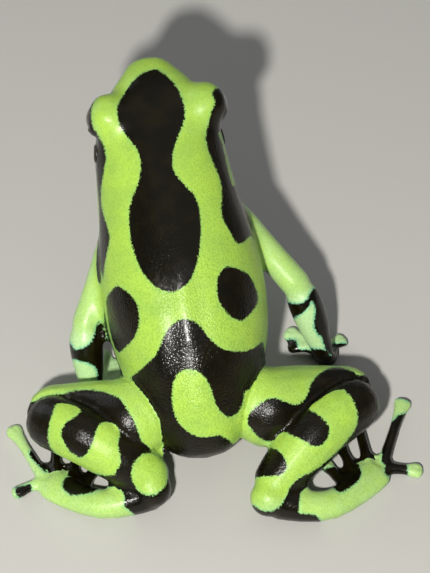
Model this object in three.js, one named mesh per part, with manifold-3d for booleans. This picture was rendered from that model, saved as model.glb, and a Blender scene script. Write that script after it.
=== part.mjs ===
// A green and black poison dart frog at life size, sitting with its hind legs folded and its
// head raised, as a group of separate solids: head, torso, eyes, eardrums and every part of each
// limb down to the single fingers and toes.
// Millimetres, +Z up. The frog faces -Y and its right side is -X. The floor is at z = 0, and the
// origin lies on the floor under the middle of the animal's bounding box.
import * as THREE from "three";
import { mergeVertices } from "three/addons/utils/BufferGeometryUtils.js";
import Module from "manifold-3d";

const wasm = await Module();
wasm.setup();

// Driving dimensions
const GAP = 0.3; // clearance between one part and the next
const SMALLEST = 1e-4; // vertices closer than this are one

// The trunk and head are one form, given where each station's back line and belly line pass
// (forward, height), how wide it is to each side, how boxy its section is, and how far the
// spine sways to the left there.
const BODY_STATIONS = [
  { name: "vent", back: [0.1, 5.2], belly: [1.9, 2.3], half: 2.5, power: 2.0, sway: 0 },
  { name: "rump", back: [3.3, 10.1], belly: [5.4, 0.1], half: 4.8, power: 2.1, sway: -0.15 },
  { name: "hips", back: [7.2, 14.1], belly: [10.2, 0.1], half: 6.5, power: 2.2, sway: -0.3 },
  { name: "sacrum", back: [11.2, 16.7], belly: [14.2, 2.4], half: 7.5, power: 2.2, sway: -0.3 },
  { name: "flank", back: [15.7, 18.6], belly: [18.4, 5.2], half: 7.5, power: 2.2, sway: -0.2 },
  { name: "ribs", back: [20.0, 20.2], belly: [22.2, 8.6], half: 6.75, power: 2.2, sway: -0.05 },
  { name: "shoulders", back: [24.0, 21.6], belly: [25.2, 11.6], half: 6.25, power: 2.2, sway: 0.1 },
  { name: "jaw joint", back: [27.4, 22.5], belly: [27.9, 14.0], half: 5.9, power: 2.3, sway: 0.1 },
  { name: "eyes", back: [30.2, 22.7], belly: [30.7, 16.1], half: 4.8, power: 2.4, sway: 0 },
  { name: "nostrils", back: [32.6, 22.5], belly: [33.0, 17.9], half: 2.95, power: 2.4, sway: 0 },
  { name: "snout", back: [34.4, 21.9], belly: [34.5, 18.9], half: 1.75, power: 2.2, sway: 0 },
];
const BODY_WIDEST = 0.45; // how far up each section its widest level is
const NECK_STATION = 6.15; // where the head is parted from the torso
const VENT_ROUNDING = 2.2;
const SNOUT_ROUNDING = 1.6;

const EYE = {
  centre: [4.65, 28.5, 20.5],
  radius: 1.85,
  lidCentre: [4.25, 28.3, 20.8],
  lidRadius: 2.35,
  opening: [1.8, 1.75, 1.5],
  openingShift: [2.0, 0.25, -0.15],
};
const EARDRUM = { station: 6.75, level: 0.06, radius: 0.95, thickness: 1.4, proud: -0.1 };
const MOUTH = { front: [35.2, 19.9], corner: [26.6, 16.1], height: 0.3, depth: 0.45 };
const NOSTRIL = { station: 9.15, level: 0.42, radius: 0.3 };

// Half-widths and half-heights of each limb part, evenly spaced from its root to its end.
const UPPER_ARM = { half: [1.5, 1.4, 1.25, 1.2, 1.25, 1.3], tall: [1.6, 1.5, 1.3, 1.2, 1.25, 1.3] };
const FOREARM = { half: [1.35, 1.6, 1.6, 1.4, 1.1, 0.95], tall: [1.4, 1.6, 1.55, 1.3, 1.0, 0.9] };
const PALM = { half: [0.95, 1.15, 1.45, 1.5], tall: [0.85, 0.8, 0.7, 0.6] };
const THIGH = { half: [3.5, 3.7, 3.5, 3.1, 2.7, 2.4], tall: [3.5, 3.8, 3.6, 3.2, 2.8, 2.5] };
const SHANK = { half: [2.3, 2.6, 2.75, 2.7, 2.3, 1.95], tall: [2.3, 2.6, 2.75, 2.6, 2.15, 1.9] };
const THIGH_SHIFT = [0, 0.9, -0.8]; // how far the thigh's middle lies off the line from hip to knee
const THIGH_END_SHIFT = [0, 0.4, -0.5]; // and its knee end, which is below the shank's
const KNEE_RAISE = 0.2; // how far the shank's knee end is raised
const FOOT = { half: [1.7, 1.6, 1.45, 1.45, 1.7, 1.75], tall: [1.8, 1.6, 1.3, 1.1, 0.9, 0.7] };
const DIGIT_TALL = [0.62, 0.58, 0.55, 0.52, 0.5, 0.48];
const FINGER_HALF = [0.6, 0.55, 0.5, 0.5, 0.72, 0.78];
const TOE_HALF = [0.65, 0.58, 0.52, 0.5, 0.68, 0.74];
const DIGIT_REST = 0.3; // how high the middle of a fingertip lies

// Where the joints are in this pose: left or right of the midline, forward, up.
const POSE = {
  left: {
    shoulder: [4.6, 22.3, 13.0],
    elbow: [9.2, 14.7, 7.6],
    wrist: [9.1, 10.9, 1.15],
    palm: [8.3, 12.9, 0.5],
    fingers: [[5.2, 13.6], [5.6, 15.4], [7.2, 17.0], [9.6, 15.6]],
    hip: [2.9, 3.9, 5.8],
    knee: [15.6, 8.3, 4.3],
    calf_shift: [-0.3, -0.5, 1.95], // how far the shank's middle lies off the line to the ankle
    ankle: [4.0, -0.4, 1.95],
    instep: [10.0, -0.7, 1.2],
    ball: [14.9, 3.2, 0.55],
    toes: [[9.4, 4.4], [11.0, 6.8], [12.9, 9.6], [17.1, 9.9], [18.1, 2.2]],
  },
  right: {
    shoulder: [5.2, 22.6, 13.2],
    elbow: [11.2, 15.6, 8.0],
    wrist: [13.3, 11.6, 1.15],
    palm: [13.3, 13.7, 0.5],
    fingers: [[10.0, 14.6], [10.0, 16.2], [12.9, 17.2], [15.7, 14.4]],
    hip: [2.9, 3.9, 5.8],
    knee: [16.6, 5.3, 4.3],
    calf_shift: [-0.3, 0.2, 1.7],
    ankle: [4.5, -3.0, 1.95],
    instep: [10.4, -4.3, 1.2],
    ball: [16.3, -0.6, 0.55],
    toes: [[10.7, 1.4], [12.6, 3.8], [14.9, 6.4], [19.9, 6.9], [20.0, -1.6]],
  },
};

const SKIN = { color: 0x9fd052, roughness: 0.38, metalness: 0 };
const PATCH = { color: 0x1c1a12, roughness: 0.35, metalness: 0 };
const EYEBALL = { color: 0x120d08, roughness: 0.08, metalness: 0 };

const SIDES = { left: 1, right: -1 };

// A point given as sideways, forward and up, in the model's own axes.
const place = ([sideways, forward, up], side = 1) =>
  new THREE.Vector3(side * sideways, -forward, up);

// Solids

// A closed geometry as a solid that can be cut and joined.
function solidOf(geometry) {
  const bare = geometry.clone();
  bare.deleteAttribute("normal");
  bare.deleteAttribute("uv");
  const merged = mergeVertices(bare, SMALLEST);
  const triVerts = new Uint32Array(merged.index.array).filter((_, i, all) => {
    const first = i - (i % 3);
    const [a, b, c] = [all[first], all[first + 1], all[first + 2]];
    return a !== b && b !== c && a !== c;
  });
  const vertProperties = new Float32Array(merged.attributes.position.array);
  const made = new wasm.Manifold(new wasm.Mesh({ numProp: 3, vertProperties, triVerts }));
  if (made.volume() > 0) return made;
  triVerts.reverse();
  return new wasm.Manifold(new wasm.Mesh({ numProp: 3, vertProperties, triVerts }));
}

const largest = (solid) =>
  solid.decompose().reduce((best, body) => (body.volume() > best.volume() ? body : best));

function ball(centre, radii, around, tall) {
  const geometry = new THREE.SphereGeometry(1, around, tall);
  geometry.scale(...radii);
  geometry.translate(centre.x, centre.y, centre.z);
  return solidOf(geometry);
}

// A smooth run of numbers through the given ones, read at a share of the way along them.
function profile(values) {
  const last = values.length - 1;
  return (share) => {
    const at = THREE.MathUtils.clamp(share, 0, 1) * last;
    const i = Math.min(Math.floor(at), last - 1);
    const [a, b, c, d] = [i - 1, i, i + 1, i + 2].map(
      (k) => values[THREE.MathUtils.clamp(k, 0, last)],
    );
    const t = at - i;
    const rise = c - a + t * (2 * a - 5 * b + 4 * c - d + t * (3 * (b - c) + d - a));
    return b + 0.5 * t * rise;
  };
}

// How far a rounded end has opened at a distance from its tip.
const opened = (distance, rounding) =>
  distance >= rounding ? 1 : Math.sqrt(Math.max(0, 1 - (1 - distance / rounding) ** 2));

const boxy = (value, power) => Math.sign(value) * Math.abs(value) ** (2 / power);

// The point of a form's surface at a distance along it and a turn round it, grown outwards.
function surface(form, distance, turn, grow = 0) {
  const inside = THREE.MathUtils.clamp(distance, 0, form.length);
  const s = form.section(inside / form.length);
  const round =
    opened(distance + grow, form.rounding[0] + grow) *
    opened(form.length - distance + grow, form.rounding[1] + grow);
  const across = boxy(Math.cos(turn), s.power) * (s.half + grow) * round;
  const level = boxy(Math.sin(turn), s.power) * round;
  return s.centre
    .clone()
    .addScaledVector(s.side, across)
    .addScaledVector(s.rise, level * ((level > 0 ? s.top : s.bottom) + grow))
    .addScaledVector(s.forward, distance - inside);
}

// A closed solid round a form: a ball whose rings become the form's sections.
function sweep(form, grow = 0) {
  const geometry = new THREE.SphereGeometry(1, form.around, form.along);
  const { position, uv } = geometry.attributes;
  const whole = form.length + 2 * grow;
  for (let i = 0; i < position.count; i++) {
    const share = 1 - uv.getY(i);
    const eased = (share + (1 - Math.cos(Math.PI * share)) / 2) / 2;
    const p = surface(form, whole * eased - grow, 2 * Math.PI * uv.getX(i), grow);
    position.setXYZ(i, p.x, p.y, p.z);
  }
  return solidOf(geometry);
}

// Forms

// The trunk and head, from the vent to the snout.
function bodyForm() {
  const run = (pick) => profile(BODY_STATIONS.map(pick));
  const backForward = run((s) => s.back[0]);
  const backHeight = run((s) => s.back[1]);
  const bellyForward = run((s) => s.belly[0]);
  const bellyHeight = run((s) => s.belly[1]);
  const half = run((s) => s.half);
  const power = run((s) => s.power);
  const sway = run((s) => s.sway);
  const section = (share) => {
    const back = place([sway(share), backForward(share), backHeight(share)]);
    const belly = place([sway(share), bellyForward(share), bellyHeight(share)]);
    const rise = back.clone().sub(belly);
    const tall = rise.length();
    rise.normalize();
    return {
      centre: belly.clone().lerp(back, BODY_WIDEST),
      side: new THREE.Vector3(1, 0, 0),
      rise,
      forward: new THREE.Vector3(1, 0, 0).cross(rise),
      half: half(share),
      top: tall * (1 - BODY_WIDEST),
      bottom: tall * BODY_WIDEST,
      power: power(share),
    };
  };
  const ends = [0, 1].map((share) => section(share).centre);
  return {
    section,
    length: ends[0].distanceTo(ends[1]),
    rounding: [VENT_ROUNDING, SNOUT_ROUNDING],
    around: 28,
    along: 40,
  };
}

// A limb part along a smooth line through its points, flattest side up.
function limbForm(points, { half, tall }, around, along, power = 2) {
  const curve = new THREE.CatmullRomCurve3(points);
  const [width, height] = [profile(half), profile(tall)];
  const section = (share) => {
    const forward = curve.getTangentAt(share);
    const side = forward.clone().cross(new THREE.Vector3(0, 0, 1)).normalize();
    return {
      centre: curve.getPointAt(share),
      side,
      rise: side.clone().cross(forward),
      forward,
      half: width(share),
      top: height(share),
      bottom: height(share),
      power,
    };
  };
  return {
    section,
    length: curve.getLength(),
    rounding: [width(0), Math.min(width(1), height(1) * 1.6)],
    around,
    along,
  };
}

// A point moved towards another by a share of the way, then raised.
const between = (a, b, share, raise = 0) =>
  a.clone().lerp(b, share).add(new THREE.Vector3(0, 0, raise));

function armForms(side, pose) {
  const at = (point) => place(point, SIDES[side]);
  const [shoulder, elbow, wrist, palm] = [pose.shoulder, pose.elbow, pose.wrist, pose.palm].map(at);
  const pastElbow = between(elbow, shoulder, -0.1);
  return {
    upper_arm: limbForm([shoulder, between(shoulder, elbow, 0.5, 0.3), pastElbow], UPPER_ARM, 10, 11),
    forearm: limbForm([between(elbow, wrist, -0.06), wrist], FOREARM, 10, 11),
    hand: limbForm([between(wrist, palm, -0.3), between(palm, wrist, -0.35)], PALM, 10, 8),
    ...digitForms("finger", palm, wrist, pose.fingers.map(([x, y]) => at([x, y, DIGIT_REST])),
      FINGER_HALF, [0.35, 0.15, 0.05, 0.25]),
  };
}

function legForms(side, pose) {
  const at = (point) => place(point, SIDES[side]);
  const [hip, knee, ankle, instep, ballOfFoot] =
    [pose.hip, pose.knee, pose.ankle, pose.instep, pose.ball].map(at);
  return {
    shank: limbForm(
      [between(knee, ankle, 0.02, KNEE_RAISE), between(knee, ankle, 0.45).add(at(pose.calf_shift)), ankle],
      SHANK, 16, 14,
    ),
    thigh: limbForm(
      [hip, between(hip, knee, 0.5).add(at(THIGH_SHIFT)), knee.clone().add(at(THIGH_END_SHIFT))],
      THIGH, 16, 14,
    ),
    foot: limbForm([ankle, instep, ballOfFoot], FOOT, 12, 12, 2.2),
    ...digitForms("toe", ballOfFoot, instep, pose.toes.map(([x, y]) => at([x, y, DIGIT_REST])),
      TOE_HALF, [0.62, 0.45, 0.22, 0.02, 0.04]),
  };
}

// The fingers or toes of one side, each from its own place along the palm or the sole.
function digitForms(kind, front, rear, tips, half, setBack) {
  return Object.fromEntries(
    tips.map((tip, i) => {
      const root = between(front, rear, setBack[i]);
      const points = [root, between(root, tip, 0.55, 0.12), tip];
      return [`${kind}_${i + 1}`, limbForm(points, { half, tall: DIGIT_TALL }, 8, 9, 2.2)];
    }),
  );
}

// Head details

// One eye's ball, and what the lids and their opening add to and take from the head.
function eyeSolids(side) {
  const centre = place(EYE.centre, side);
  const opening = centre.clone().add(place(EYE.openingShift, side));
  return {
    globe: ball(centre, Array(3).fill(EYE.radius), 16, 10),
    socket: ball(centre, Array(3).fill(EYE.radius + GAP), 16, 10),
    lid: ball(place(EYE.lidCentre, side), Array(3).fill(EYE.lidRadius), 18, 12),
    opening: ball(opening, EYE.opening, 16, 10),
  };
}

// A short disc lying in the side of the head, its axis along the surface's own normal.
function disc(form, { station, level, radius, thickness, proud }, side, grow = 0) {
  const distance = (form.length * station) / (BODY_STATIONS.length - 1);
  const turn = side > 0 ? level : Math.PI - level;
  const step = 0.05;
  const here = surface(form, distance, turn);
  const ahead = surface(form, distance + step, turn).sub(here);
  const round = surface(form, distance, turn + step).sub(here);
  const normal = ahead.cross(round).normalize();
  if (normal.x * side < 0) normal.negate();
  const geometry = new THREE.CylinderGeometry(radius + grow, radius + grow, thickness + 2 * grow, 16);
  geometry.applyQuaternion(
    new THREE.Quaternion().setFromUnitVectors(new THREE.Vector3(0, 1, 0), normal),
  );
  const middle = here.addScaledVector(normal, proud - thickness / 2);
  geometry.translate(middle.x, middle.y, middle.z);
  return solidOf(geometry);
}

// The line between the lips, sunk into the outer surface only.
function mouthLine(form) {
  const [front, corner] = [MOUTH.front, MOUTH.corner].map(([f, z]) => place([0, f, z]));
  const length = front.distanceTo(corner);
  const geometry = new THREE.BoxGeometry(30, length, MOUTH.height);
  const slope = front.clone().sub(corner).normalize();
  geometry.applyQuaternion(
    new THREE.Quaternion().setFromUnitVectors(new THREE.Vector3(0, -1, 0), slope),
  );
  const middle = between(front, corner, 0.5);
  geometry.translate(middle.x, middle.y, middle.z);
  return solidOf(geometry).subtract(sweep(form, -MOUTH.depth));
}

function nostril(form, side) {
  const distance = (form.length * NOSTRIL.station) / (BODY_STATIONS.length - 1);
  const turn = side > 0 ? NOSTRIL.level : Math.PI - NOSTRIL.level;
  return ball(surface(form, distance, turn), Array(3).fill(NOSTRIL.radius), 10, 8);
}

// A block that holds all that lies in front of the neck, or behind it, and half of the gap.
function beyondNeck(form, direction) {
  const s = form.section(NECK_STATION / (BODY_STATIONS.length - 1));
  const size = 80;
  const geometry = new THREE.BoxGeometry(size, size, size);
  geometry.applyQuaternion(
    new THREE.Quaternion().setFromUnitVectors(new THREE.Vector3(0, -1, 0), s.forward),
  );
  const middle = s.centre.clone().addScaledVector(s.forward, (direction * (size - GAP)) / 2);
  geometry.translate(middle.x, middle.y, middle.z);
  return solidOf(geometry);
}

// Assembly

const parts = new Map(); // name: the finished solid
const clearances = []; // what later parts keep clear of

function add(name, solid, clearance) {
  parts.set(name, largest(solid.subtract(floor)));
  clearances.push(clearance);
}

// A limb part, cut clear of everything that was placed before it.
function addLimbPart(name, form) {
  const cut = clearances.reduce((rest, other) => rest.subtract(other), sweep(form));
  add(name, cut, sweep(form, GAP));
}

const floorDepth = 40;
const floorBlock = new THREE.BoxGeometry(200, 200, floorDepth);
floorBlock.translate(0, 0, -floorDepth / 2);
const floor = solidOf(floorBlock);

const form = bodyForm();
let whole = sweep(form);
for (const [name, side] of Object.entries(SIDES)) {
  const eye = eyeSolids(side);
  whole = whole.add(eye.lid).subtract(eye.socket).subtract(eye.opening);
  whole = whole.subtract(disc(form, EARDRUM, side, GAP)).subtract(nostril(form, side));
  parts.set("eye_" + name, eye.globe);
  parts.set("eardrum_" + name, disc(form, EARDRUM, side));
}
whole = whole.subtract(mouthLine(form));
parts.set("head", largest(whole.subtract(beyondNeck(form, -1))));
add("torso", whole.subtract(beyondNeck(form, 1)), sweep(form, GAP));

for (const build of [legForms, armForms]) {
  for (const side of Object.keys(SIDES)) {
    for (const [part, limb] of Object.entries(build(side, POSE[side]))) {
      addLimbPart(`${part}_${side}`, limb);
    }
  }
}

// The scene

function meshOf(name, solid) {
  const { vertProperties, triVerts, numProp, numVert } = solid.getMesh();
  const corners = new Float32Array(numVert * 3);
  for (let i = 0; i < numVert; i++) {
    corners.set(vertProperties.subarray(i * numProp, i * numProp + 3), 3 * i);
  }
  const geometry = new THREE.BufferGeometry();
  geometry.setAttribute("position", new THREE.BufferAttribute(corners, 3));
  geometry.setIndex(new THREE.BufferAttribute(triVerts, 1));
  const finish = name.startsWith("eye_") ? EYEBALL : name.startsWith("eardrum") ? PATCH : SKIN;
  const mesh = new THREE.Mesh(geometry, new THREE.MeshStandardMaterial(finish));
  mesh.name = name;
  return mesh;
}

const frog = new THREE.Group();
for (const [name, solid] of parts) frog.add(meshOf(name, solid));

const middle = new THREE.Box3().setFromObject(frog).getCenter(new THREE.Vector3());
frog.position.set(-middle.x, -middle.y, 0);

export default frog;
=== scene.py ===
from math import radians, cos, sin

import bmesh
import bpy
import numpy as np
from mathutils import Matrix, Vector
from mathutils.bvhtree import BVHTree


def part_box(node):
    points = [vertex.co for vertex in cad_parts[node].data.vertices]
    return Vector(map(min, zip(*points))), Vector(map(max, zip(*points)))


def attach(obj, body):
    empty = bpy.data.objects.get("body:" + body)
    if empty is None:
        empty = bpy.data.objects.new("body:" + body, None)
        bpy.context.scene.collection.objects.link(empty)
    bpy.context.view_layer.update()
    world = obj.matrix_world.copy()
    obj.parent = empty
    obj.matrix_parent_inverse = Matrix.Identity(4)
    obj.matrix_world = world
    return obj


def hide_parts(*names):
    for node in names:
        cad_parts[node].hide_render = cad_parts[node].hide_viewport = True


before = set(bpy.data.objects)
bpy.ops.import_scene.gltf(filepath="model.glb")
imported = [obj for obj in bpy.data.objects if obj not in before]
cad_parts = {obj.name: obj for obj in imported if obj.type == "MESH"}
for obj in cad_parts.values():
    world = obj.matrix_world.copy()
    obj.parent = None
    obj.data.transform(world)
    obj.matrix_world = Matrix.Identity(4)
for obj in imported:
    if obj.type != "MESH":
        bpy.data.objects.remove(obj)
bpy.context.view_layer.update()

# Camera, floor and light
# The frog is seen from behind and above, a little from its left, and lit by a lamp close to
# the camera, with soft light from all round.
MM = 0.001
PHOTO_SIZE = (430, 573)  # pixels
PHOTO_SCALE = 10.7  # pixels for a millimetre of the frog
VIEW_TURN, VIEW_TILT = radians(170.4), radians(54.0)
VIEW_DISTANCE = 320.0  # millimetres
VIEW_TARGET = Vector((-2.41, -2.67, 8.0))
SENSOR = 36.0
FLASH_BACK, FLASH_ASIDE = 0.25, 0.035  # metres from the frog towards the camera, and off its line
FLOOR_GREY = (0.50, 0.49, 0.465, 1.0)
STUDIO_SKY = (0.80, 0.83, 0.86, 1.0)
STUDIO_STRENGTH = 0.14
VIEW_BACK = Vector((sin(VIEW_TURN) * cos(VIEW_TILT), -cos(VIEW_TURN) * cos(VIEW_TILT), sin(VIEW_TILT)))
VIEW_RIGHT = Vector((cos(VIEW_TURN), sin(VIEW_TURN), 0.0))
VIEW_UP = VIEW_BACK.cross(VIEW_RIGHT)
FOCAL_PIXELS = PHOTO_SCALE * VIEW_DISTANCE


def add_object(name, data):
    made = bpy.data.objects.new(name, data)
    bpy.context.scene.collection.objects.link(made)
    return made


def add_camera():
    data = bpy.data.cameras.new("camera")
    data.sensor_width = SENSOR
    data.lens = SENSOR * FOCAL_PIXELS / max(PHOTO_SIZE)
    data.clip_start, data.clip_end = 0.01, 10.0
    camera = add_object("camera", data)
    camera.location = (VIEW_TARGET + VIEW_BACK * VIEW_DISTANCE) * MM
    camera.rotation_euler = (-VIEW_BACK).to_track_quat("-Z", "Y").to_euler()
    bpy.context.scene.camera = camera


def add_lamp(name, spot, size, power, colour):
    data = bpy.data.lights.new(name, "AREA")
    data.shape = "DISK"
    data.size = size
    data.energy = power
    data.color = colour
    lamp = add_object(name, data)
    lamp.location = spot
    aim = VIEW_TARGET * MM - lamp.location
    lamp.rotation_euler = aim.to_track_quat("-Z", "Y").to_euler()


def add_floor():
    bm = bmesh.new()
    bmesh.ops.create_grid(bm, x_segments=1, y_segments=1, size=1.5)
    mesh = bpy.data.meshes.new("floor")
    bm.to_mesh(mesh)
    bm.free()
    floor = add_object("floor", mesh)
    paint = bpy.data.materials.new("floor_paint")
    paint.use_nodes = True
    shader = paint.node_tree.nodes["Principled BSDF"]
    shader.inputs["Base Color"].default_value = FLOOR_GREY
    shader.inputs["Roughness"].default_value = 0.75
    mesh.materials.append(paint)


add_camera()
flash_place = VIEW_TARGET * MM + VIEW_BACK * FLASH_BACK - (VIEW_RIGHT + VIEW_UP) * FLASH_ASIDE
add_lamp("flash", flash_place, 0.014, 0.78, (1.0, 0.98, 0.93))
add_lamp("overhead", Vector((-0.10, -0.05, 0.50)), 0.70, 0.24, (1.0, 0.99, 0.97))
add_lamp("front_fill", Vector((0.28, -0.32, 0.22)), 0.36, 0.42, (0.95, 0.98, 1.0))
add_floor()
world = bpy.data.worlds.new("studio")
world.use_nodes = True
sky = world.node_tree.nodes["Background"].inputs
sky["Color"].default_value = STUDIO_SKY
sky["Strength"].default_value = STUDIO_STRENGTH
bpy.context.scene.world = world
bpy.context.scene.view_settings.view_transform = "Standard"

# The skin's shape
# One moist skin covers the head, trunk and limbs without a seam. It is the solids' own flesh,
# swollen until the gaps between them close, made one, then drawn back and smoothed.
GAP_CLOSING = 0.22
COARSE_GRAIN, FINE_GRAIN = 0.2, 0.248  # millimetres between the points of the skin
EYE_FORWARD = 28.5  # how far forward of the body's own zero the eyes are
HEEL_KNOBS = [((5.3, -0.55, 2.35), 1.78), ((-5.05, -3.3, 2.3), 1.72)]  # middle, radius
SIDES = {"left": 1, "right": -1}

eye_boxes = {side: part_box("eye_" + side) for side in SIDES}
eye_centres = {side: (box[0] + box[1]) / (2 * MM) for side, box in eye_boxes.items()}
head_middle = (eye_centres["left"] + eye_centres["right"]) / 2


def place(sideways, forward, up):
    """A point in millimetres from the body's own measures: left of the midline, forward, up."""
    return Vector((head_middle.x + sideways, head_middle.y + EYE_FORWARD - forward, up))


def swollen_mesh():
    bm = bmesh.new()
    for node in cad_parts.values():
        bm.from_mesh(node.data)
    bmesh.ops.scale(bm, vec=(1 / MM,) * 3, verts=bm.verts)
    bmesh.ops.remove_doubles(bm, verts=bm.verts, dist=0.002)
    for centre, radius in HEEL_KNOBS:
        spot = Matrix.Translation(place(*centre))
        bmesh.ops.create_icosphere(bm, subdivisions=4, radius=radius, matrix=spot)
    mesh = bpy.data.meshes.new("flesh")
    bm.to_mesh(mesh)
    bm.free()
    flesh = add_object("flesh", mesh)
    for grain, swelling in ((COARSE_GRAIN, GAP_CLOSING), (FINE_GRAIN, -GAP_CLOSING)):
        remesh = flesh.modifiers.new("points", "REMESH")
        remesh.mode = "VOXEL"
        remesh.voxel_size = grain
        displace = flesh.modifiers.new("swell", "DISPLACE")
        displace.mid_level = 0.0
        displace.strength = swelling
    shown = flesh.evaluated_get(bpy.context.evaluated_depsgraph_get())
    made = bpy.data.meshes.new_from_object(shown)
    bpy.data.objects.remove(flesh)
    return made


def points_of(mesh):
    flat = np.empty(len(mesh.vertices) * 3)
    mesh.vertices.foreach_get("co", flat)
    return flat.reshape(-1, 3)


def normals_of(mesh):
    flat = np.empty(len(mesh.vertices) * 3)
    mesh.vertex_normals.foreach_get("vector", flat)
    return flat.reshape(-1, 3)


def set_points(mesh, points):
    mesh.vertices.foreach_set("co", points.ravel())
    mesh.update()


def edges_of(mesh):
    flat = np.empty(len(mesh.edges) * 2, dtype=np.int64)
    mesh.edges.foreach_get("vertices", flat)
    return flat.reshape(-1, 2)


def neighbour_mean(values, edges):
    total = np.zeros_like(values)
    a, b = edges.T
    count = np.bincount(edges.ravel(), minlength=len(values)).astype(float)
    for column in range(values.shape[1]):
        total[:, column] = np.bincount(a, values[b, column], len(values))
        total[:, column] += np.bincount(b, values[a, column], len(values))
    return total / np.maximum(count, 1)[:, None]


def relax(values, edges, rounds, share=0.5, back=-0.53, weight=1.0):
    """Smooths values over the skin. Each round is drawn back a little, so that little shrinks."""
    for _ in range(rounds):
        for step in (share, back):
            if step:
                values = values + weight * step * (neighbour_mean(values, edges) - values)
    return values


def ease(value, low, high):
    """0 below low, 1 above high and smooth between, for arrays; low may be the larger one."""
    t = np.clip((value - low) / (high - low), 0, 1)
    return t * t * (3 - 2 * t)


# Where the flesh runs on without a crease: sideways, forward, up, reach in millimetres, strength
SOFT_PLACES = [
    (0.0, 15.0, 11.5, 14.0, 0.35), (0.0, 25.5, 20.0, 6.0, 1.0), (0.0, 24.0, 13.5, 6.5, 1.0),
    (2.4, 28.0, 21.8, 3.6, 1.0), (-2.4, 28.0, 21.8, 3.6, 1.0), (4.6, 25.2, 20.6, 3.0, 1.0),
    (-4.6, 25.2, 20.6, 3.0, 1.0), (4.6, 22.0, 12.6, 3.6, 1.0), (-5.2, 22.3, 12.8, 3.6, 1.0),
    (4.2, 5.2, 7.2, 4.2, 1.0), (-4.2, 5.2, 7.2, 4.2, 1.0),
]


def softness(dots):
    soft = np.zeros(len(dots))
    for *spot, reach, strength in SOFT_PLACES:
        away = np.linalg.norm(dots - np.array(place(*spot)), axis=1)
        soft = np.maximum(soft, strength * ease(away, reach, reach * 0.55))
    return soft[:, None]


# Muscles and bones that lift the skin: a line's two ends (sideways, forward, up), reach, height
MUSCLES = [
    ((-6.2, 21.2, 12.2), (-10.6, 16.2, 8.6), 2.3, 0.42), ((5.6, 20.6, 11.8), (8.6, 15.6, 8.2), 2.0, 0.18),
    ((-11.8, 14.6, 7.0), (-12.6, 13.2, 4.6), 1.7, 0.16), ((9.2, 13.8, 6.6), (9.1, 12.4, 4.4), 1.7, 0.16),
    ((0.5, 12.4, 17.2), (0.5, 7.4, 14.2), 1.5, 0.26), ((0.4, 6.4, 13.2), (0.4, 3.4, 9.6), 2.2, 0.20),
    ((3.6, 21.8, 18.0), (3.8, 18.2, 16.8), 2.0, 0.16), ((-3.4, 21.8, 18.0), (-3.6, 18.2, 16.8), 2.0, 0.16),
    ((2.6, 9.6, 14.6), (3.4, 6.0, 11.4), 1.6, 0.14), ((-2.0, 9.6, 14.6), (-2.8, 6.0, 11.4), 1.6, 0.14),
]


def swell(dots, normals):
    for start, end, reach, height in MUSCLES:
        first, last = np.array(place(*start)), np.array(place(*end))
        along = last - first
        share = np.clip((dots - first) @ along / (along @ along), 0, 1)
        away = np.linalg.norm(dots - first - share[:, None] * along, axis=1)
        lift = height * np.exp(-((away / (reach * 0.6)) ** 2))
        dots = dots + normals * np.where(away < 2.2 * reach, lift, 0)[:, None]
    return dots


skin_mesh = swollen_mesh()
skin_mesh.name = "skin"
points = points_of(skin_mesh)
links = edges_of(skin_mesh)
points = relax(points, links, rounds=9)
points = relax(points, links, rounds=42, back=0.0, weight=softness(points))
set_points(skin_mesh, points)
points = swell(points, normals_of(skin_mesh))
points[:, 2] = np.maximum(points[:, 2], 0.0)
set_points(skin_mesh, points)

# Finer skin round the eyes, mouth, nostrils and pads
# The lids, the lips, the nostrils and the pads of the fingers and toes carry the smallest
# forms, so the skin's faces are divided there and the new points smoothed.
EYELID_REACH, LIP_REACH, NOSTRIL_REACH, PAD_REACH = 3.1, 0.9, 0.8, 1.3
MOUTH_FRONT, MOUTH_CORNER = (35.2, 19.8), (26.3, 16.5)  # forward, up
NOSTRIL = (2.25, 33.2, 21.2)  # sideways, forward, up
PAD_MIDDLE = 0.75  # from a tip back to the middle of its pad
DIGITS = {"hand": ("finger", 4), "foot": ("toe", 5)}


def digit_tips():
    """For each finger and toe, its pad's middle and the direction that it points in."""
    tips = {}
    for side in SIDES:
        for palm, (kind, count) in DIGITS.items():
            low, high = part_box(f"{palm}_{side}")
            root = (low + high) / (2 * MM)
            for number in range(1, count + 1):
                name = f"{kind}_{number}_{side}"
                dots = [v.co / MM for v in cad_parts[name].data.vertices]
                tip = max(dots, key=lambda dot: (dot - root).length)
                near = min(dots, key=lambda dot: (dot - root).length)
                along = (tip - near).normalized()
                tips[name] = (tip - along * PAD_MIDDLE, along)
    return tips


def mouth_measures(dots):
    """How far forward of the mouth's corner, and how far above its line, each point lies."""
    corner = place(0, *MOUTH_CORNER)
    front = place(0, *MOUTH_FRONT)
    along = np.array((front - corner).normalized())
    above = np.array([0.0, along[2], -along[1]])
    offset = dots - np.array(corner)
    return offset @ along, offset @ above * np.sign(above[2])


def fine_places(dots):
    fine = np.zeros(len(dots), bool)
    for centre in eye_centres.values():
        fine |= np.linalg.norm(dots - np.array(centre), axis=1) < EYELID_REACH
    forward, above = mouth_measures(dots)
    fine |= (forward > -0.6) & (np.abs(above) < LIP_REACH)
    for side in SIDES.values():
        nostril = place(side * NOSTRIL[0], *NOSTRIL[1:])
        fine |= np.linalg.norm(dots - np.array(nostril), axis=1) < NOSTRIL_REACH
    for centre, _ in digit_tips().values():
        fine |= np.linalg.norm(dots - np.array(centre), axis=1) < PAD_REACH
    return fine


def refine(mesh):
    bm = bmesh.new()
    bm.from_mesh(mesh)
    fine = fine_places(points_of(mesh))
    edges = [e for e in bm.edges if all(fine[v.index] for v in e.verts)]
    bmesh.ops.subdivide_edges(bm, edges=edges, cuts=1, use_grid_fill=True)
    bm.to_mesh(mesh)
    bm.free()


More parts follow.
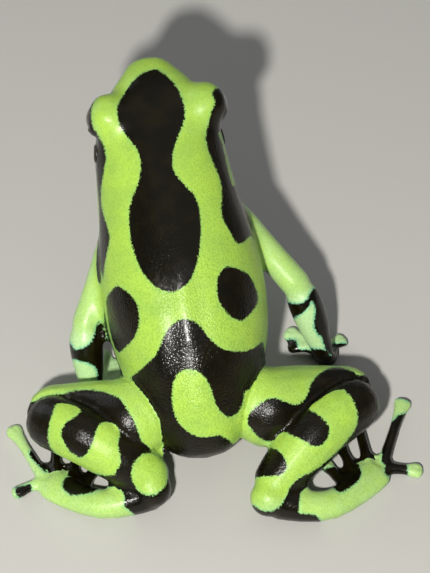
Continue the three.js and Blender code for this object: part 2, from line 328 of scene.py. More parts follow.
refine(skin_mesh)
points = points_of(skin_mesh)
links = edges_of(skin_mesh)
fine = fine_places(points)[:, None]
points = relax(points, links, rounds=4, weight=fine)
set_points(skin_mesh, points)

# Lids, lips, nostrils and pads
# The lids stand round each eyeball as a low rim, the lips meet in a fine groove, and each
# finger and toe ends in a flat pad with two small shields on top.
EYE_AXIS = (0.94, 0.32, 0.10)  # sideways, forward, up
OPENING = (radians(45), radians(34))  # half the opening's length and height, seen from the eye
UNDER_EYE, LID_RIM = 1.55, 2.05  # from the eye's middle to the skin behind it and to the rim
GROOVE_DEPTH, GROOVE_HALF_WIDTH = 0.26, 0.14
LIP_SWELL, LIP_OFFSET = 0.05, 0.36
NOSTRIL_DEPTH, NOSTRIL_RADIUS = 0.34, 0.22
PAD_WIDENING = 0.16
CREASES = [("thigh", "shank"), ("body", "thigh")]
CREASE_DEPTH = 0.32
FAR = 9.0  # millimetres, farther than any of these forms and markings reaches


def eye_frame(side):
    """The eye's outward axis, the line along its opening, and the line across it."""
    out = Vector((SIDES[side] * EYE_AXIS[0], -EYE_AXIS[1], EYE_AXIS[2])).normalized()
    along = Vector((0, -1, 0.12)).cross(out).cross(out).normalized()
    return out, along, out.cross(along).normalized()


def opening_measure(dots, side):
    """1 on the edge of the lids' opening, less inside it, for points round the eye."""
    out, along, across = (np.array(axis) for axis in eye_frame(side))
    ray = dots - np.array(eye_centres[side])
    ray /= np.linalg.norm(ray, axis=1)[:, None]
    span = np.hypot((ray @ along) / sin(OPENING[0]), (ray @ across) / sin(OPENING[1]))
    return np.where(ray @ out > 0.1, span, FAR)


def shape_lids(dots, side):
    centre = np.array(eye_centres[side])
    ray = dots - centre
    reach = np.linalg.norm(ray, axis=1)
    span = opening_measure(dots, side)
    near = reach < EYELID_REACH
    rim = np.maximum(reach, LID_RIM - 0.12 * ease(span, 1.15, 1.6))
    lid = rim * ease(span, 1.7, 1.3) + reach * ease(span, 1.3, 1.7)
    wanted = UNDER_EYE + (lid - UNDER_EYE) * ease(span, 0.93, 1.03)
    wanted = np.where(near & (span < 1.7), wanted, reach)
    return centre + ray * (wanted / np.maximum(reach, 1e-6))[:, None]


def shape_mouth(dots, normals):
    forward, above = mouth_measures(dots)
    there = ease(forward, -0.3, 0.6)
    groove = -GROOVE_DEPTH * np.exp(-((above / GROOVE_HALF_WIDTH) ** 2))
    lips = LIP_SWELL * np.exp(-(((np.abs(above) - LIP_OFFSET) / 0.2) ** 2))
    return dots + normals * (there * (groove + lips))[:, None]


def from_nostril(dots):
    """How far each point lies from the middle of the nearer nostril, which is on the skin."""
    reach = np.full(len(dots), FAR)
    for side in SIDES.values():
        spot = np.array(place(side * NOSTRIL[0], *NOSTRIL[1:]))
        middle = dots[np.linalg.norm(dots - spot, axis=1).argmin()]
        reach = np.minimum(reach, np.linalg.norm(dots - middle, axis=1))
    return reach


def shape_nostrils(dots, normals, reach):
    return dots - normals * (NOSTRIL_DEPTH * np.exp(-((reach / NOSTRIL_RADIUS) ** 2)))[:, None]


def shape_pads(dots, normals):
    for centre, along in digit_tips().values():
        across = along.cross(Vector((0, 0, 1))).normalized()
        offset = dots - np.array(centre)
        reach = np.linalg.norm(offset, axis=1)
        near = ease(reach, PAD_REACH, 0.35)
        sideways = offset @ np.array(across)
        dots = dots + np.array(across) * (sideways * PAD_WIDENING * near * 2)[:, None]
        top = ease(normals[:, 2], 0.2, 0.6)
        shields = -0.06 * np.exp(-((sideways / 0.09) ** 2)) * top * ease(reach, 0.75, 0.45)
        dots = dots + normals * shields[:, None]
    return dots


def nearest_nodes(dots):
    """The name of the solid that each point of the skin belongs to."""
    names, corners, faces = [], [], []
    for name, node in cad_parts.items():
        base = len(corners)
        corners += [v.co / MM for v in node.data.vertices]
        for face in node.data.polygons:
            faces.append([base + i for i in face.vertices])
            names.append(name)
    tree = BVHTree.FromPolygons(corners, faces)
    return np.array([names[tree.find_nearest(dot)[2]] for dot in dots])


def shape_creases(dots, normals, nodes, edges):
    """Presses the skin in along the lines where one part of a folded leg lies on the next."""
    for side in SIDES:
        sheets = {"body": "torso", "thigh": "thigh_" + side, "shank": "shank_" + side}
        share = {key: (nodes == name).astype(float) for key, name in sheets.items()}
        grid = relax(np.stack(list(share.values()), axis=1), edges, rounds=2, back=0.0)
        share = dict(zip(share, grid.T))
        meeting = sum(share[a] * share[b] for a, b in CREASES)
        dots = dots - normals * (CREASE_DEPTH * np.minimum(4 * meeting, 1) ** 1.5)[:, None]
    return dots


for side in SIDES:
    points = shape_lids(points, side)
set_points(skin_mesh, points)
points = shape_mouth(points, normals_of(skin_mesh))
nostril_reach = from_nostril(points)
points = shape_nostrils(points, normals_of(skin_mesh), nostril_reach)
points = shape_pads(points, normals_of(skin_mesh))
nodes = nearest_nodes(points)
points = shape_creases(points, normals_of(skin_mesh), nodes, links)
points[:, 2] = np.maximum(points[:, 2], 0.0)
set_points(skin_mesh, points)

# The markings
# Black bands and spots lie in the skin itself. Each is drawn as the photograph shows it, as a
# rounded outline in its pixels, and what faces away is drawn from the side in millimetres.
TRUNK_BLACK = {
    "crown and back": [
        (155, 69), (163, 73), (172, 80.6), (178, 89.5), (183, 101), (185, 114), (183, 124),
        (178, 137), (174, 148), (172.5, 160), (174, 171), (181, 181), (190, 190), (197, 200.5),
        (200, 214.5), (201, 232), (199, 252), (195, 270), (187, 284), (172, 292), (156, 287),
        (144, 274), (136, 258), (131, 240), (129, 218), (130.4, 203), (135, 191.6), (138.7, 180),
        (141, 168.6), (140, 158.4), (136, 148), (128.5, 138), (121, 128), (117.6, 116),
        (118, 105), (124.6, 93), (131, 83), (141, 74),
    ],
    "left side spot": [
        (117.5, 286), (124, 289.4), (130.5, 295), (136, 302.4), (138.6, 312), (139, 321),
        (137.5, 329.5), (133.7, 338), (127, 346), (119, 352.3), (112, 347), (107, 337),
        (104.5, 323), (104.5, 312), (106, 301), (110, 292),
    ],
    "right side spot": [
        (226, 266.5), (236.5, 268.5), (244, 271.6), (250.6, 277), (255, 286.7), (258.2, 297.6),
        (256, 306), (251.7, 312), (246.3, 318.2), (238.7, 320.5), (230, 316), (223, 308),
        (218, 298), (217, 288), (218.5, 277),
    ],
    "rump": [
        (184, 319), (195, 322), (203, 329.5), (211, 340), (222, 348.5), (235, 351.5),
        (249.5, 350), (258.2, 345), (265, 340), (275, 334), (300, 340), (300, 420), (270, 500),
        (190, 520), (110, 500), (95, 420), (98, 376), (112, 375), (121, 377), (131, 376.5),
        (140, 370), (148, 363), (155.4, 355.6), (160, 346), (166, 333), (174, 323),
    ],
}
RUMP_SPOT = [
    (181, 371), (191, 369.5), (202, 374), (209, 384), (213, 395), (216.5, 405), (221, 411.5),
    (228, 417), (236, 414), (243, 404), (247, 390), (275, 395), (275, 440), (262, 458),
    (244, 456), (236, 448), (229, 441), (220, 435.5), (210, 436.5), (200, 437), (192, 434.5),
    (182.4, 427.5), (175.4, 416), (172.3, 405), (172, 391), (175, 379),
]
SIDE_BANDS = {
    "right side band": [
        (214, 90), (240, 88), (262, 150), (262, 215), (246, 240), (237, 243), (230.5, 232),
        (222, 217), (221.6, 203), (221.6, 188), (218.4, 175), (214, 165), (209, 152),
        (205.6, 139), (207.5, 126.5), (211, 114), (215, 102),
    ],
    "left side band": [
        (60, 122), (84, 122), (91.5, 126.5), (96.6, 133), (104, 147), (106, 158), (104, 168.6),
        (103, 177.5), (101, 190), (101, 203), (103.6, 214.5), (108, 228.6), (109.5, 241),
        (105, 262), (102, 280), (96, 280), (70, 230), (60, 170),
    ],
}
RIGHT_LIP = [(221, 134), (224, 143), (226.6, 154), (229, 165), (231, 174), (233.5, 184)]
LIP_WIDTH = 0.36
EARDRUM_SURROUND = 1.25
# Forward and up, in millimetres
FLANK_BLACK = {
    "eye to shoulder": [
        (34.4, 20.9), (32.6, 21.5), (30.8, 21.9), (28.5, 22.1), (26.8, 21.0), (25.0, 19.8),
        (22.5, 18.6), (20.0, 17.8), (17.5, 17.2), (15.4, 16.4), (14.6, 15.2), (15.6, 14.0),
        (18.0, 13.8), (20.5, 14.2), (22.0, 15.8), (24.5, 16.7), (26.8, 17.0), (29.0, 17.9),
        (32.0, 19.3), (34.2, 20.3),
    ],
    "belly and throat": [
        (36.5, 19.3), (33.0, 18.4), (29.5, 16.9), (26.5, 15.6), (24.0, 15.5), (21.0, 13.6),
        (18.5, 11.6), (15.5, 10.0), (12.5, 8.2), (9.5, 7.6), (6.0, 8.6), (3.0, 9.0), (-2.0, 8.0),
        (-3.0, -2.0), (10.0, -3.0), (25.0, 4.0), (38.0, 14.0),
    ],
}
# Green blotches of the underside: sideways, forward, up and radius, in millimetres
UNDERSIDE_BLOTCHES = [
    (0.6, 30.8, 16.2, 1.7), (-1.6, 28.6, 14.4, 1.2), (3.6, 26.6, 14.6, 1.1), (-4.4, 25.4, 14.0, 1.3),
    (0.8, 24.4, 11.2, 1.6), (3.8, 20.6, 8.6, 1.8), (-3.2, 20.0, 7.4, 2.0), (0.4, 17.2, 4.6, 1.3),
    (4.8, 14.6, 4.2, 1.6), (-5.2, 14.2, 4.8, 1.5), (-1.6, 13.0, 2.0, 1.6), (2.6, 9.6, 0.2, 1.7),
    (-4.4, 8.6, 1.6, 1.4), (0.2, 5.6, 0.2, 1.2),
]
ANKLE_LEFT = [
    (120.7, 433), (118.6, 443), (119.3, 451.4), (121, 459.8), (119.3, 466.8), (115.8, 474.5),
    (122, 481), (124, 490.7), (125, 500.5), (126, 508), (150, 520), (180, 500), (180, 468),
    (168, 448), (149, 430), (134, 420), (126, 423),
]
LIMB_BLACK = {
    "arm_left": [
        [
            (64, 341), (70.3, 343.6), (74, 349), (78.4, 349.6), (86, 346.8), (91.5, 341.5),
            (94.7, 335), (97.4, 324), (106, 322), (112, 400), (97.4, 400), (97.6, 379),
            (96.6, 369.7), (93.6, 366), (87, 362.6), (79.5, 360.6), (73.6, 358.8), (64, 359),
        ],
    ],
    "arm_right": [
        [
            (276, 290), (282, 295.4), (287.5, 302), (295, 304), (302.6, 303), (307.5, 298.7),
            (309.7, 294), (316, 288), (330, 300), (340, 360), (327, 351.2), (322.2, 337.7),
            (317.8, 334.4), (314.6, 328), (314.6, 319.3), (315.7, 309.5), (311.9, 300.8),
            (308, 307.3), (303.7, 311.7), (297.2, 316), (291.5, 320), (291.8, 328), (296, 336.6),
            (303.7, 343), (312.4, 348.5), (327, 351.2), (334, 364), (290, 364), (272, 320),
        ],
    ],
    "hand_right": [
        [
            (272, 352), (283, 341.5), (295, 340), (299, 349), (310, 350), (322, 352), (327, 352),
            (328, 345), (350, 344), (360, 356), (330, 375), (290, 375),
        ],
    ],
    "thigh_left": [
        [
            (28.8, 426), (31.6, 416.3), (35.8, 406.5), (42, 399.5), (52, 396), (63, 393.9),
            (73, 391), (84.2, 389.6), (95.4, 390.3), (106.6, 393), (116.5, 396.7), (122, 401),
            (126.3, 408), (130.5, 415), (134.7, 422), (138, 431.7), (138, 440), (126, 455),
            (84, 460), (30, 450),
        ],
    ],
    "thigh_right": [
        [
            (247.2, 421.9), (248.6, 415.6), (253.5, 409.3), (260.5, 403.7), (268.9, 398.8),
            (276, 398.5), (284.4, 401.6), (292.8, 404.4), (298.4, 404), (304, 400.2),
            (308.2, 392.5), (310.3, 385.4), (314.5, 378.4), (320.8, 372.8), (329.3, 368.3),
            (339, 367.5), (348.9, 369.6), (357.3, 374.9), (364.3, 381.9), (371.4, 390.3),
            (379, 400.2), (386.8, 416.3), (350.3, 459.8), (294.2, 459.8), (276, 443), (266, 440.9),
            (258.4, 436.6), (252, 429.6),
        ],
    ],
    "shank_left": [
        [
            (18, 430), (26, 395), (56, 392), (56.5, 399), (54.7, 406.5), (52, 415), (49, 426),
            (48, 436), (48.4, 443), (53.3, 451.4), (63, 459.8), (75.8, 466.8), (89.8, 472.4),
            (105, 475.5), (116, 475), (122, 478), (126, 500), (60, 500), (20, 460),
        ],
        [
            (61.7, 436), (62.4, 429), (67.3, 422), (75.8, 416.3), (87, 407), (100, 405),
            (106, 413), (104, 421), (98.2, 426), (95.4, 433), (93.3, 440), (89.8, 448.6),
            (84.2, 455.6), (78.6, 457), (71.6, 452.8), (66, 445.8),
        ],
        ANKLE_LEFT,
    ],
    "shank_right": [
        [
            (337, 386), (343.3, 388.7), (350.3, 396.7), (355.2, 405), (357.3, 415), (357, 423.3),
            (353, 433), (344.7, 443), (336.3, 452.8), (326.5, 461.2), (316.6, 469), (306.8, 474.5),
            (298.4, 478.7), (292.8, 483.7), (288.9, 489.3), (287.6, 496.3), (285.8, 503.3),
            (281.6, 509), (272, 520), (336.3, 510), (400, 426), (390, 384), (350.3, 360),
            (334, 372),
        ],
        [
            (281, 425), (292, 410), (302, 401), (308.2, 409.7), (315.2, 412.8), (322.2, 418.4),
            (327.9, 424.7), (329.3, 430.3), (327.9, 437.3), (322.2, 444.4), (313.8, 445.8),
            (305.4, 441.6), (297, 437.3), (288, 432.8),
        ],
        [
            (248, 476), (250, 455), (262, 440), (271.7, 447.6), (277.3, 450), (283, 455.6),
            (286.5, 462.6), (285.8, 469.6), (280.2, 475.2), (271.7, 476), (263.3, 476.5),
        ],
    ],
    "foot_left": [
        ANKLE_LEFT,
        [
            (62.4, 486.5), (63.8, 480.8), (68.8, 476.6), (78.6, 475), (89.8, 476), (98.2, 479.5),
            (106, 483.5), (101, 487.5), (96.8, 490.3), (89.8, 493.2), (80, 494.6), (73, 495),
            (67.3, 493),
        ],
        [
            (28.8, 452.8), (33.7, 450.7), (39.3, 450.7), (47, 458.5), (48.5, 464), (46.3, 472.4),
            (40.7, 467.8), (33.7, 460.5),
        ],
        [
            (16, 487.5), (22.4, 486), (30.2, 484.8), (31.4, 489.3), (30.2, 494.5), (19.2, 497.5),
            (16, 494),
        ],
    ],
    "foot_right": [
        [
            (292.8, 481.7), (300.5, 481.2), (300, 492), (299.2, 501.9), (299.8, 513.2),
            (316.6, 516), (316.6, 530), (238, 530), (240, 496), (258, 466), (285, 470),
        ],
        [
            (333.5, 468.2), (340.5, 462.6), (350.3, 464), (358.7, 466.8), (361.3, 472.4),
            (359, 480), (351.7, 486.5), (344.7, 490.7), (340.5, 492.4), (334.9, 489.3),
            (329.3, 485.3), (320.8, 483), (311, 482.2), (305, 479), (319.4, 474), (329.3, 470),
        ],
        [
            (380.9, 431.7), (386, 425.4), (393.8, 420.5), (398.7, 415), (410, 416.3), (403, 440),
            (396, 466), (383.3, 463.3), (382, 454), (380.6, 443),
        ],
        [
            (395, 394), (402, 394.5), (411, 397.5), (411, 402), (402, 398.5), (395, 397.5),
        ],
        [
            (386, 463), (396, 463.5), (406.4, 464), (406.4, 476), (396.6, 476), (386, 475),
        ],
    ],
}
# Round green heels: middle, then half width and half height
HEELS = {"left": ((149.8, 474.1), (18.3, 21.2)), "right": ((267.4, 494), (17.8, 17.4))}
INNER_TOES = ("toe_1", "toe_2", "toe_3")
PART_NODES = {
    "arm": ("upper_arm", "forearm"), "hand": ("hand", "finger"), "thigh": ("thigh",),
    "shank": ("shank",), "foot": ("foot", "toe"),
}
SHANK_SEEN = {
    "left": [
        (36, 401), (52, 402), (64, 403), (75, 406), (92.5, 413), (109, 421.5), (123, 430),
        (139, 440.5), (154, 451), (164, 460), (175, 485), (150, 515), (90, 495), (60, 470),
        (20, 445), (14, 425), (24, 408),
    ],
    "right": [
        (350, 386), (342.5, 387.5), (333, 391), (322, 398), (310, 406), (296, 418), (282, 431),
        (269.6, 448), (260, 462), (248, 476), (240, 500), (262, 525), (310, 500), (360, 460),
        (395, 420), (395, 385), (372, 372),
    ],
}


def photo_places(dots):
    """Where points show in the photograph, in its pixels."""
    offset = dots - np.array(VIEW_TARGET)
    depth = VIEW_DISTANCE - offset @ np.array(VIEW_BACK)
    across = PHOTO_SIZE[0] / 2 + FOCAL_PIXELS * (offset @ np.array(VIEW_RIGHT)) / depth
    down = PHOTO_SIZE[1] / 2 - FOCAL_PIXELS * (offset @ np.array(VIEW_UP)) / depth
    return np.stack([across, down], axis=1)


def rounded(outline, steps=4):
    """A smooth closed line through the outline's points."""
    here = np.array(outline, float)
    before, after, beyond = (np.roll(here, shift, axis=0) for shift in (1, -1, -2))
    rows = []
    for t in np.arange(steps) / steps:
        bend = 2 * before - 5 * here + 4 * after - beyond
        turn = 3 * (here - after) + beyond - before
        rows.append(here + 0.5 * t * (after - before + t * (bend + t * turn)))
    return np.stack(rows, axis=1).reshape(-1, 2)


def distance_to_line(places, line):
    x, y = places.T
    nearest = np.full(len(places), 1e9)
    for (ax, ay), (bx, by) in zip(line, line[1:]):
        dx, dy = bx - ax, by - ay
        share = np.clip(((x - ax) * dx + (y - ay) * dy) / max(dx * dx + dy * dy, 1e-9), 0, 1)
        nearest = np.minimum(nearest, np.hypot(x - ax - share * dx, y - ay - share * dy))
    return nearest


def depth_inside(places, outline):
    """How far outside the rounded outline each place lies, below 0 inside it."""
    line = rounded(outline)
    line = np.concatenate([line, line[:1]])
    x, y = places.T
    inside = np.zeros(len(places), bool)
    for (ax, ay), (bx, by) in zip(line, line[1:]):
        if ay != by:
            inside ^= ((ay > y) != (by > y)) & (x < ax + (y - ay) * (bx - ax) / (by - ay))
    return np.where(inside, -1, 1) * distance_to_line(places, line)


def trunk_markings(dots, normals):
    seen = photo_places(dots)
    black = np.full(len(dots), FAR)
    for outline in (*TRUNK_BLACK.values(), *SIDE_BANDS.values()):
        black = np.minimum(black, depth_inside(seen, outline) / PHOTO_SCALE)
    black = np.maximum(black, -depth_inside(seen, RUMP_SPOT) / PHOTO_SCALE)
    origin = place(0, 0, 0)
    beside = np.stack([origin.y - dots[:, 1], dots[:, 2]], axis=1)
    flank = np.full(len(dots), FAR)
    for outline in FLANK_BLACK.values():
        flank = np.minimum(flank, depth_inside(beside, outline))
    bent = dots + 0.75 * np.sin(dots[:, [1, 2, 0]] * 1.15) + 0.3 * np.sin(dots[:, [2, 0, 1]] * 2.9 + 1)
    for sideways, forward, up, radius in UNDERSIDE_BLOTCHES:
        reach = np.linalg.norm(bent - np.array(place(sideways, forward, up)), axis=1)
        flank = np.maximum(flank, radius - reach)
    facing = normals @ np.array(VIEW_BACK)
    hidden = ease(facing, 0.32, 0.05)
    black = black * (1 - hidden) + flank * hidden
    lip = LIP_WIDTH / 2 - distance_to_line(seen, np.array(RIGHT_LIP)) / PHOTO_SCALE
    black = np.maximum(black, np.where(facing > -0.1, lip, -FAR))
    for side in SIDES:
        low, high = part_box("eardrum_" + side)
        eardrum = np.array((low + high) / (2 * MM))
        black = np.minimum(black, np.linalg.norm(dots - eardrum, axis=1) - EARDRUM_SURROUND)
        near_eye = np.linalg.norm(dots - np.array(eye_centres[side]), axis=1) < EYELID_REACH
        lid_edge = np.where(near_eye, (opening_measure(dots, side) - 1.32) * 1.2, FAR)
        black = np.minimum(black, lid_edge)
    return black


def limb_markings(dots, part):
    """How far outside its black bands and spots each point lies, on one part of a limb."""
    seen = photo_places(dots)
    black = np.full(len(dots), FAR)
    for outline in LIMB_BLACK.get(part, ()):
        black = np.minimum(black, depth_inside(seen, outline) / PHOTO_SCALE)
    kind, side = part.split("_")
    if kind in ("shank", "foot"):
        centre, half = HEELS[side]
        reach = np.hypot(*((seen - centre) / half).T)
        black = np.maximum(black, (1 - reach) * min(half) / PHOTO_SCALE)
    if kind == "foot":
        for name, (tip, _) in digit_tips().items():
            if name.startswith(INNER_TOES) and name.endswith(side):
                reach = np.linalg.norm(dots - np.array(tip), axis=1)
                black = np.where(on_digit(dots, name), np.minimum(black, 1.0 - reach), black)
    return black


def on_digit(dots, name):
    low, high = (np.array(corner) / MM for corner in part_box(name))
    return np.all((dots > low - 0.1) & (dots < high + 0.1), axis=1)


def body_parts(dots, normals, nodes):
    """Which part of the body each point is on. Thigh and shank meet where the photograph shows."""
    parts = np.full(len(dots), "trunk", dtype="U12")
    for name, starts in PART_NODES.items():
        for side in SIDES:
            chosen = np.char.endswith(nodes, side)
            chosen &= np.any([np.char.startswith(nodes, start) for start in starts], axis=0)
            parts[chosen] = f"{name}_{side}"
    seen = photo_places(dots)
    facing = normals @ np.array(VIEW_BACK) > 0.1
    for side, outline in SHANK_SEEN.items():
        leg = facing & np.isin(parts, ("thigh_" + side, "shank_" + side))
        inside = depth_inside(seen, outline) < 0
        parts[leg] = np.where(inside[leg], "shank_" + side, "thigh_" + side)
    return parts


def all_markings(dots, normals, parts, edges):
    """The markings of every part, run together smoothly where one part meets the next."""
    normals = relax(normals, edges, rounds=14, back=0.0)
    names = sorted(set(parts))
    shares = np.stack([parts == name for name in names], axis=1).astype(float)
    shares = relax(shares, edges, rounds=3, back=0.0)
    black = np.zeros(len(dots))
    for name, share in zip(names, shares.T):
        near = share > 0
        if name == "trunk":
            depth = trunk_markings(dots[near], normals[near])
        else:
            depth = limb_markings(dots[near], name)
        black[near] += share[near] * np.clip(depth, -0.7, 0.7)
    return black


def set_attribute(mesh, name, values):
    layer = mesh.attributes.new(name, "FLOAT", "POINT")
    layer.data.foreach_set("value", values.astype(np.float32))


# How minty, grainy and shiny the skin of each part is, and where the back is wet, in the
# photograph's pixels
MINTS = {
    "head": 0.1, "torso": 0.0, "upper_arm": 0.45, "forearm": 0.95, "hand": 0.9, "finger": 0.9,
    "thigh": 0.15, "shank": 0.08, "foot": 0.4, "toe": 0.55,
}
GRAINS = {"head": 0.25, "torso": 0.75, "thigh": 0.85, "shank": 0.9, "foot": 0.6}
SHINES = {"head": 0.32, "torso": 0.32, "thigh": 0.14, "shank": 0.16}
WET_BACK, WET_REACH = (182, 318), (30, 66)


def by_node(nodes, table, otherwise):
    values = np.full(len(nodes), otherwise, float)
    for start, value in table.items():
        values[np.char.startswith(nodes, start)] = value
    return values


normals = normals_of(skin_mesh)
parts = body_parts(points, normals, nodes)
on_trunk = parts == "trunk"
black = all_markings(points, normals, parts, links)
# The nostrils are painted black inside, as painted shade in their hollows.
black = np.minimum(black, nostril_reach - 0.30)
facing = normals @ np.array(VIEW_BACK)
# Besides each part's own mint, the green is painted more mint where the skin turns away from the flash
# beside the camera: painted light, the lit middle lime and the shaded sides paler and bluer.
mint = by_node(nodes, MINTS, 0.1) + 0.55 * ease(facing, 0.55, -0.2)
grain = by_node(nodes, GRAINS, 0.25)
from_wet = np.linalg.norm((photo_places(points) - WET_BACK) / WET_REACH, axis=1)
shine = by_node(nodes, SHINES, 0.34) + 0.7 * ease(from_wet, 1.0, 0.75) * on_trunk
smooth = relax(np.stack([mint, grain, shine], axis=1), links, rounds=18, back=0.0)
forward = place(0, 0, 0).y - points[:, 1]
rump = ease(forward, 21.0, 9.0) * on_trunk
beyond_corner, above_mouth = mouth_measures(points)
set_attribute(skin_mesh, "black", black)
# The mouth measure places a dark line of painted shade along the mouth's groove.
set_attribute(skin_mesh, "mouth", np.abs(above_mouth) + np.maximum(-beyond_corner, 0))
set_attribute(skin_mesh, "mint", np.clip(smooth[:, 0], 0, 1))
set_attribute(skin_mesh, "grain", np.clip(smooth[:, 1] * (0.55 + 0.6 * rump), 0, 1))
set_attribute(skin_mesh, "shine", np.clip(smooth[:, 2], 0, 1))

skin_mesh.transform(Matrix.Scale(MM, 4))
for face in skin_mesh.polygons:
    face.use_smooth = True
skin = add_object("skin", skin_mesh)

# The skin's finish
# Lime green turns to mint on the arms and feet, and is painted more mint where the skin turns away
# from the flash: painted light, lime on the lit middle and paler, bluer green on the shaded sides.
# The black is a warm brownish black with ragged edges. The skin is moist and finely granular, most
# of all on the lower back. Shade is painted between the granules and along the mouth's groove.


class Value:
    """A socket whose arithmetic adds Math nodes."""

    def __init__(self, tree, socket):
        self.tree, self.socket = tree, socket

    def _with(self, operation, *values):
        return self.tree.add("ShaderNodeMath", {"operation": operation}, values)

    def __add__(self, other):
        return self._with("ADD", self, other)

    def __sub__(self, other):
        return self._with("SUBTRACT", self, other)

    def __rsub__(self, other):
        return self._with("SUBTRACT", other, self)

    def __mul__(self, other):
        return self._with("MULTIPLY", self, other)

    def clamped(self, low, high):
        """0 at low, 1 at high and smooth between."""
        return self.tree.add(
            "ShaderNodeMapRange", {"interpolation_type": "SMOOTHSTEP"}, [self, low, high, 0.0, 1.0]
        )

    __radd__ = __add__
    __rmul__ = __mul__


class Finish:
    """A material whose nodes are added one by one."""

    def __init__(self, name):
        self.material = bpy.data.materials.new(name)
        self.material.use_nodes = True
        self.nodes = self.material.node_tree.nodes
        self.links = self.material.node_tree.links
        self.shader = self.nodes["Principled BSDF"]

    def add(self, kind, settings=None, values=(), output=0):
        """Adds a node, its settings first, then its sockets' values or links."""
        node = self.nodes.new(kind)
        for key, setting in (settings or {}).items():
            setattr(node, key, setting)
        self.connect(node, values.items() if isinstance(values, dict) else enumerate(values))
        return Value(self, node.outputs[output])

    def connect(self, node, values):
        """Gives a node's sockets their values or links."""
        for key, value in values:
            if isinstance(value, Value):
                self.links.new(value.socket, node.inputs[key])
            else:
                node.inputs[key].default_value = value

    def set(self, values):
        self.connect(self.shader, values.items())

    def attribute(self, name):
        return self.add("ShaderNodeAttribute", {"attribute_name": name}, output=2)

    def object_place(self):
        return self.add("ShaderNodeTexCoord", output=3)

    def noise(self, scale, detail=2.0, roughness=0.5):
        values = {"Vector": self.object_place(), "Scale": scale, "Detail": detail, "Roughness": roughness}
        return self.add("ShaderNodeTexNoise", None, values)

    def mixed(self, factor, first, second):
        return self.add("ShaderNodeMix", {"data_type": "RGBA"}, {0: factor, 6: first, 7: second}, output=2)


LIME = (0.42, 0.65, 0.082, 1.0)
DEEP_LIME = (0.29, 0.50, 0.095, 1.0)
MINT = (0.50, 0.74, 0.36, 1.0)
TEAL = (0.08, 0.50, 0.36, 1.0)
# Dark green for the skin's own random freckles and for painted shade between the granules
FRECKLE_AND_GRANULE_SHADE_GREEN = (0.13, 0.30, 0.035, 1.0)
BLACK = (0.0036, 0.0030, 0.0006, 1.0)
BROWN_BLACK = (0.0085, 0.0062, 0.0014, 1.0)


def skin_finish():
    finish = Finish("frog_skin")
    depth = finish.attribute("black")
    mint = finish.attribute("mint")
    grain = finish.attribute("grain")
    shine = finish.attribute("shine")
    ragged = finish.noise(6500.0, 3.0, 0.7) - 0.5
    wavy = finish.noise(900.0, 2.0) - 0.5
    edge = depth + ragged * 0.72 + wavy * 0.12
    green_share = edge.clamped(-0.03, 0.03)
    patchy = finish.noise(420.0, 3.0, 0.6)
    lime = finish.mixed(patchy.clamped(0.35, 0.75) * 0.55, LIME, DEEP_LIME)
    green = finish.mixed((mint + wavy * 0.4).clamped(0.0, 1.0), lime, MINT)
    rim = (1 - edge.clamped(0.0, 0.30)) * (0.15 + mint * 0.5)
    green = finish.mixed(rim, green, TEAL)
    granules = finish.add(
        "ShaderNodeTexVoronoi", {"feature": "SMOOTH_F1"},
        {"Vector": finish.object_place(), "Scale": 5600.0, "Smoothness": 0.3},
    )
    # Painted shade: the green is darkened between the granules, in the hollows where shade falls. The
    # freckles below are the skin's own random darker tone.
    between = granules.clamped(0.35, 0.75) * (0.10 + grain * 0.22)
    freckles = finish.noise(5200.0, 2.0, 0.7).clamped(0.42, 0.68)
    green = finish.mixed(between + freckles * 0.16, green, FRECKLE_AND_GRANULE_SHADE_GREEN)
    black = finish.mixed(patchy.clamped(0.4, 0.7), BLACK, BROWN_BLACK)
    colour = finish.mixed(green_share, black, green)
    # Painted shade: a dark line is painted along the mouth's groove, where shade falls in the crease.
    painted_mouth_groove_shade = 1 - finish.attribute("mouth").clamped(0.02, 0.13)
    colour = finish.mixed(painted_mouth_groove_shade * 0.75, colour, BROWN_BLACK)
    pores = finish.noise(9000.0, 2.0, 0.6)
    swells = finish.noise(1500.0, 2.0, 0.5)
    height = (1 - granules) * grain * 0.85 + pores * 0.25 + swells * 0.2
    bump = finish.add(
        "ShaderNodeBump", None, {"Strength": 1.0, "Distance": 0.00006, "Height": height}
    )
    speckle = finish.noise(3000.0, 2.0)
    dull = 1 - shine.clamped(0.12, 0.32)
    wet = shine.clamped(0.34, 1.0) * (1 - granules.clamped(0.2, 0.6) * 0.7)
    finish.set({
        "Base Color": colour,
        "Roughness": 0.14 + green_share * 0.15 + speckle * 0.10 + dull * 0.10,
        "IOR": 1.52,
        "Specular IOR Level": 0.28,
        "Coat Weight": 0.04 + wet * 0.9,
        "Coat Roughness": 0.27,
        "Coat IOR": 1.7,
        "Normal": bump,
    })
    return finish.material


skin_mesh.materials.clear()
skin_mesh.materials.append(skin_finish())
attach(skin, "root")
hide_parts(*(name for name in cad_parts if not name.startswith(("eye", "eardrum"))))

# Eyes
# Each eye is a wet globe, bulging a little at the cornea, with a dark bronze iris round a
# wide pupil that lies level.
EYE_RADIUS = 1.85
CORNEA_BULGE = 0.10
PUPIL_FLATNESS = 1.25
PUPIL_BLACK = (0.004, 0.003, 0.003, 1.0)
IRIS_BRONZE = (0.030, 0.014, 0.006, 1.0)


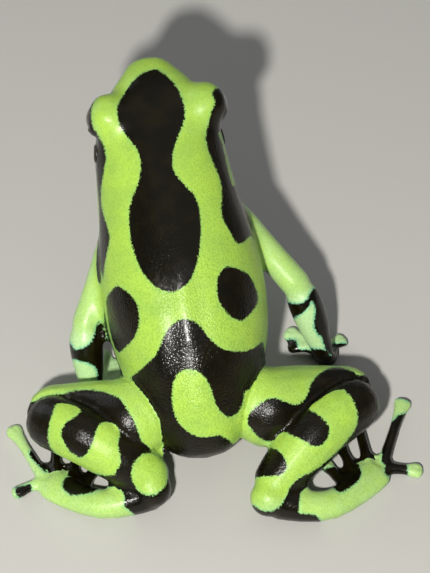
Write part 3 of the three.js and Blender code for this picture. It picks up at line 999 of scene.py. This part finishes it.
def make_eye(side):
    out, along, across = eye_frame(side)
    bm = bmesh.new()
    bmesh.ops.create_uvsphere(bm, u_segments=64, v_segments=40, radius=EYE_RADIUS)
    turn = Matrix((along, across, out)).transposed().to_4x4()
    from_pupil = []
    for vert in bm.verts:
        level = vert.co.z / EYE_RADIUS
        if level > 0.5:
            vert.co *= 1 + CORNEA_BULGE / EYE_RADIUS * (level - 0.5) * 2
        from_pupil.append(np.hypot(vert.co.x, vert.co.y * PUPIL_FLATNESS) if level > 0 else FAR)
    bmesh.ops.transform(bm, matrix=Matrix.Translation(eye_centres[side]) @ turn, verts=bm.verts)
    bmesh.ops.scale(bm, vec=(MM,) * 3, verts=bm.verts)
    bmesh.ops.recalc_face_normals(bm, faces=bm.faces)
    mesh = bpy.data.meshes.new("eyeball_" + side)
    bm.to_mesh(mesh)
    bm.free()
    for face in mesh.polygons:
        face.use_smooth = True
    set_attribute(mesh, "from_pupil", np.array(from_pupil))
    return add_object("eyeball_" + side, mesh)


def eye_finish():
    finish = Finish("wet_eye")
    reach = finish.attribute("from_pupil")
    streaks = finish.noise(2600.0, 4.0, 0.7)
    edge = reach + (streaks - 0.5) * 0.25
    iris = edge.clamped(0.62, 0.72) * (1 - edge.clamped(1.15, 1.35))
    colour = finish.mixed(iris * 0.8, PUPIL_BLACK, IRIS_BRONZE)
    finish.set({"Base Color": colour, "Roughness": 0.06, "Coat Weight": 1.0, "Coat Roughness": 0.02})
    return finish.material


eye_material = eye_finish()
for side in SIDES:
    eyeball = make_eye(side)
    eyeball.data.materials.append(eye_material)
    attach(eyeball, "root")
    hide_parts("eye_" + side)

# Eardrums
# Each is a thin round membrane behind and below the eye, stretched in a low ring and dished
# a little in the middle. Its profile, out from the middle and up from the skin, is spun round.
EARDRUM_PROFILE = [
    (0.0, 0.09), (0.30, 0.06), (0.55, 0.04), (0.70, 0.11), (0.80, 0.07), (0.9, -0.08), (0.6, -0.35),
    (0.0, -0.4),
]
EARDRUM_BLACK = (0.008, 0.006, 0.004, 1.0)
EARDRUM_BROWN = (0.020, 0.014, 0.008, 1.0)

skin_tree = BVHTree.FromPolygons([Vector(dot) for dot in points], [f.vertices for f in skin_mesh.polygons])


def make_eardrum(side):
    low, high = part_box("eardrum_" + side)
    outside = (low + high) / (2 * MM) + Vector((SIDES[side] * 0.8, 0, 0))
    hit, normal, _, _ = skin_tree.find_nearest(outside)
    bm = bmesh.new()
    rim = [bm.verts.new((across, 0.0, up)) for across, up in EARDRUM_PROFILE]
    for first, second in zip(rim, rim[1:]):
        bm.edges.new((first, second))
    bmesh.ops.spin(
        bm, geom=bm.verts[:] + bm.edges[:], cent=(0, 0, 0), axis=(0, 0, 1), angle=radians(360),
        steps=48, use_merge=True,
    )
    bmesh.ops.remove_doubles(bm, verts=bm.verts, dist=0.004)
    bmesh.ops.recalc_face_normals(bm, faces=bm.faces)
    turn = normal.to_track_quat("Z", "Y").to_matrix().to_4x4()
    bmesh.ops.transform(bm, matrix=Matrix.Translation(hit) @ turn, verts=bm.verts)
    bmesh.ops.scale(bm, vec=(MM,) * 3, verts=bm.verts)
    mesh = bpy.data.meshes.new("membrane_" + side)
    bm.to_mesh(mesh)
    bm.free()
    for face in mesh.polygons:
        face.use_smooth = True
    return add_object("membrane_" + side, mesh)


def eardrum_finish():
    finish = Finish("ear_membrane")
    mottle = finish.noise(2200.0, 3.0)
    colour = finish.mixed(mottle.clamped(0.4, 0.7), EARDRUM_BLACK, EARDRUM_BROWN)
    bump = finish.add("ShaderNodeBump", None, {"Strength": 0.5, "Distance": 0.00003, "Height": mottle})
    finish.set({"Base Color": colour, "Roughness": 0.34 + mottle * 0.1, "Normal": bump})
    return finish.material


ear_material = eardrum_finish()
for side in SIDES:
    membrane = make_eardrum(side)
    membrane.data.materials.append(ear_material)
    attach(membrane, "root")
    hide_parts("eardrum_" + side)
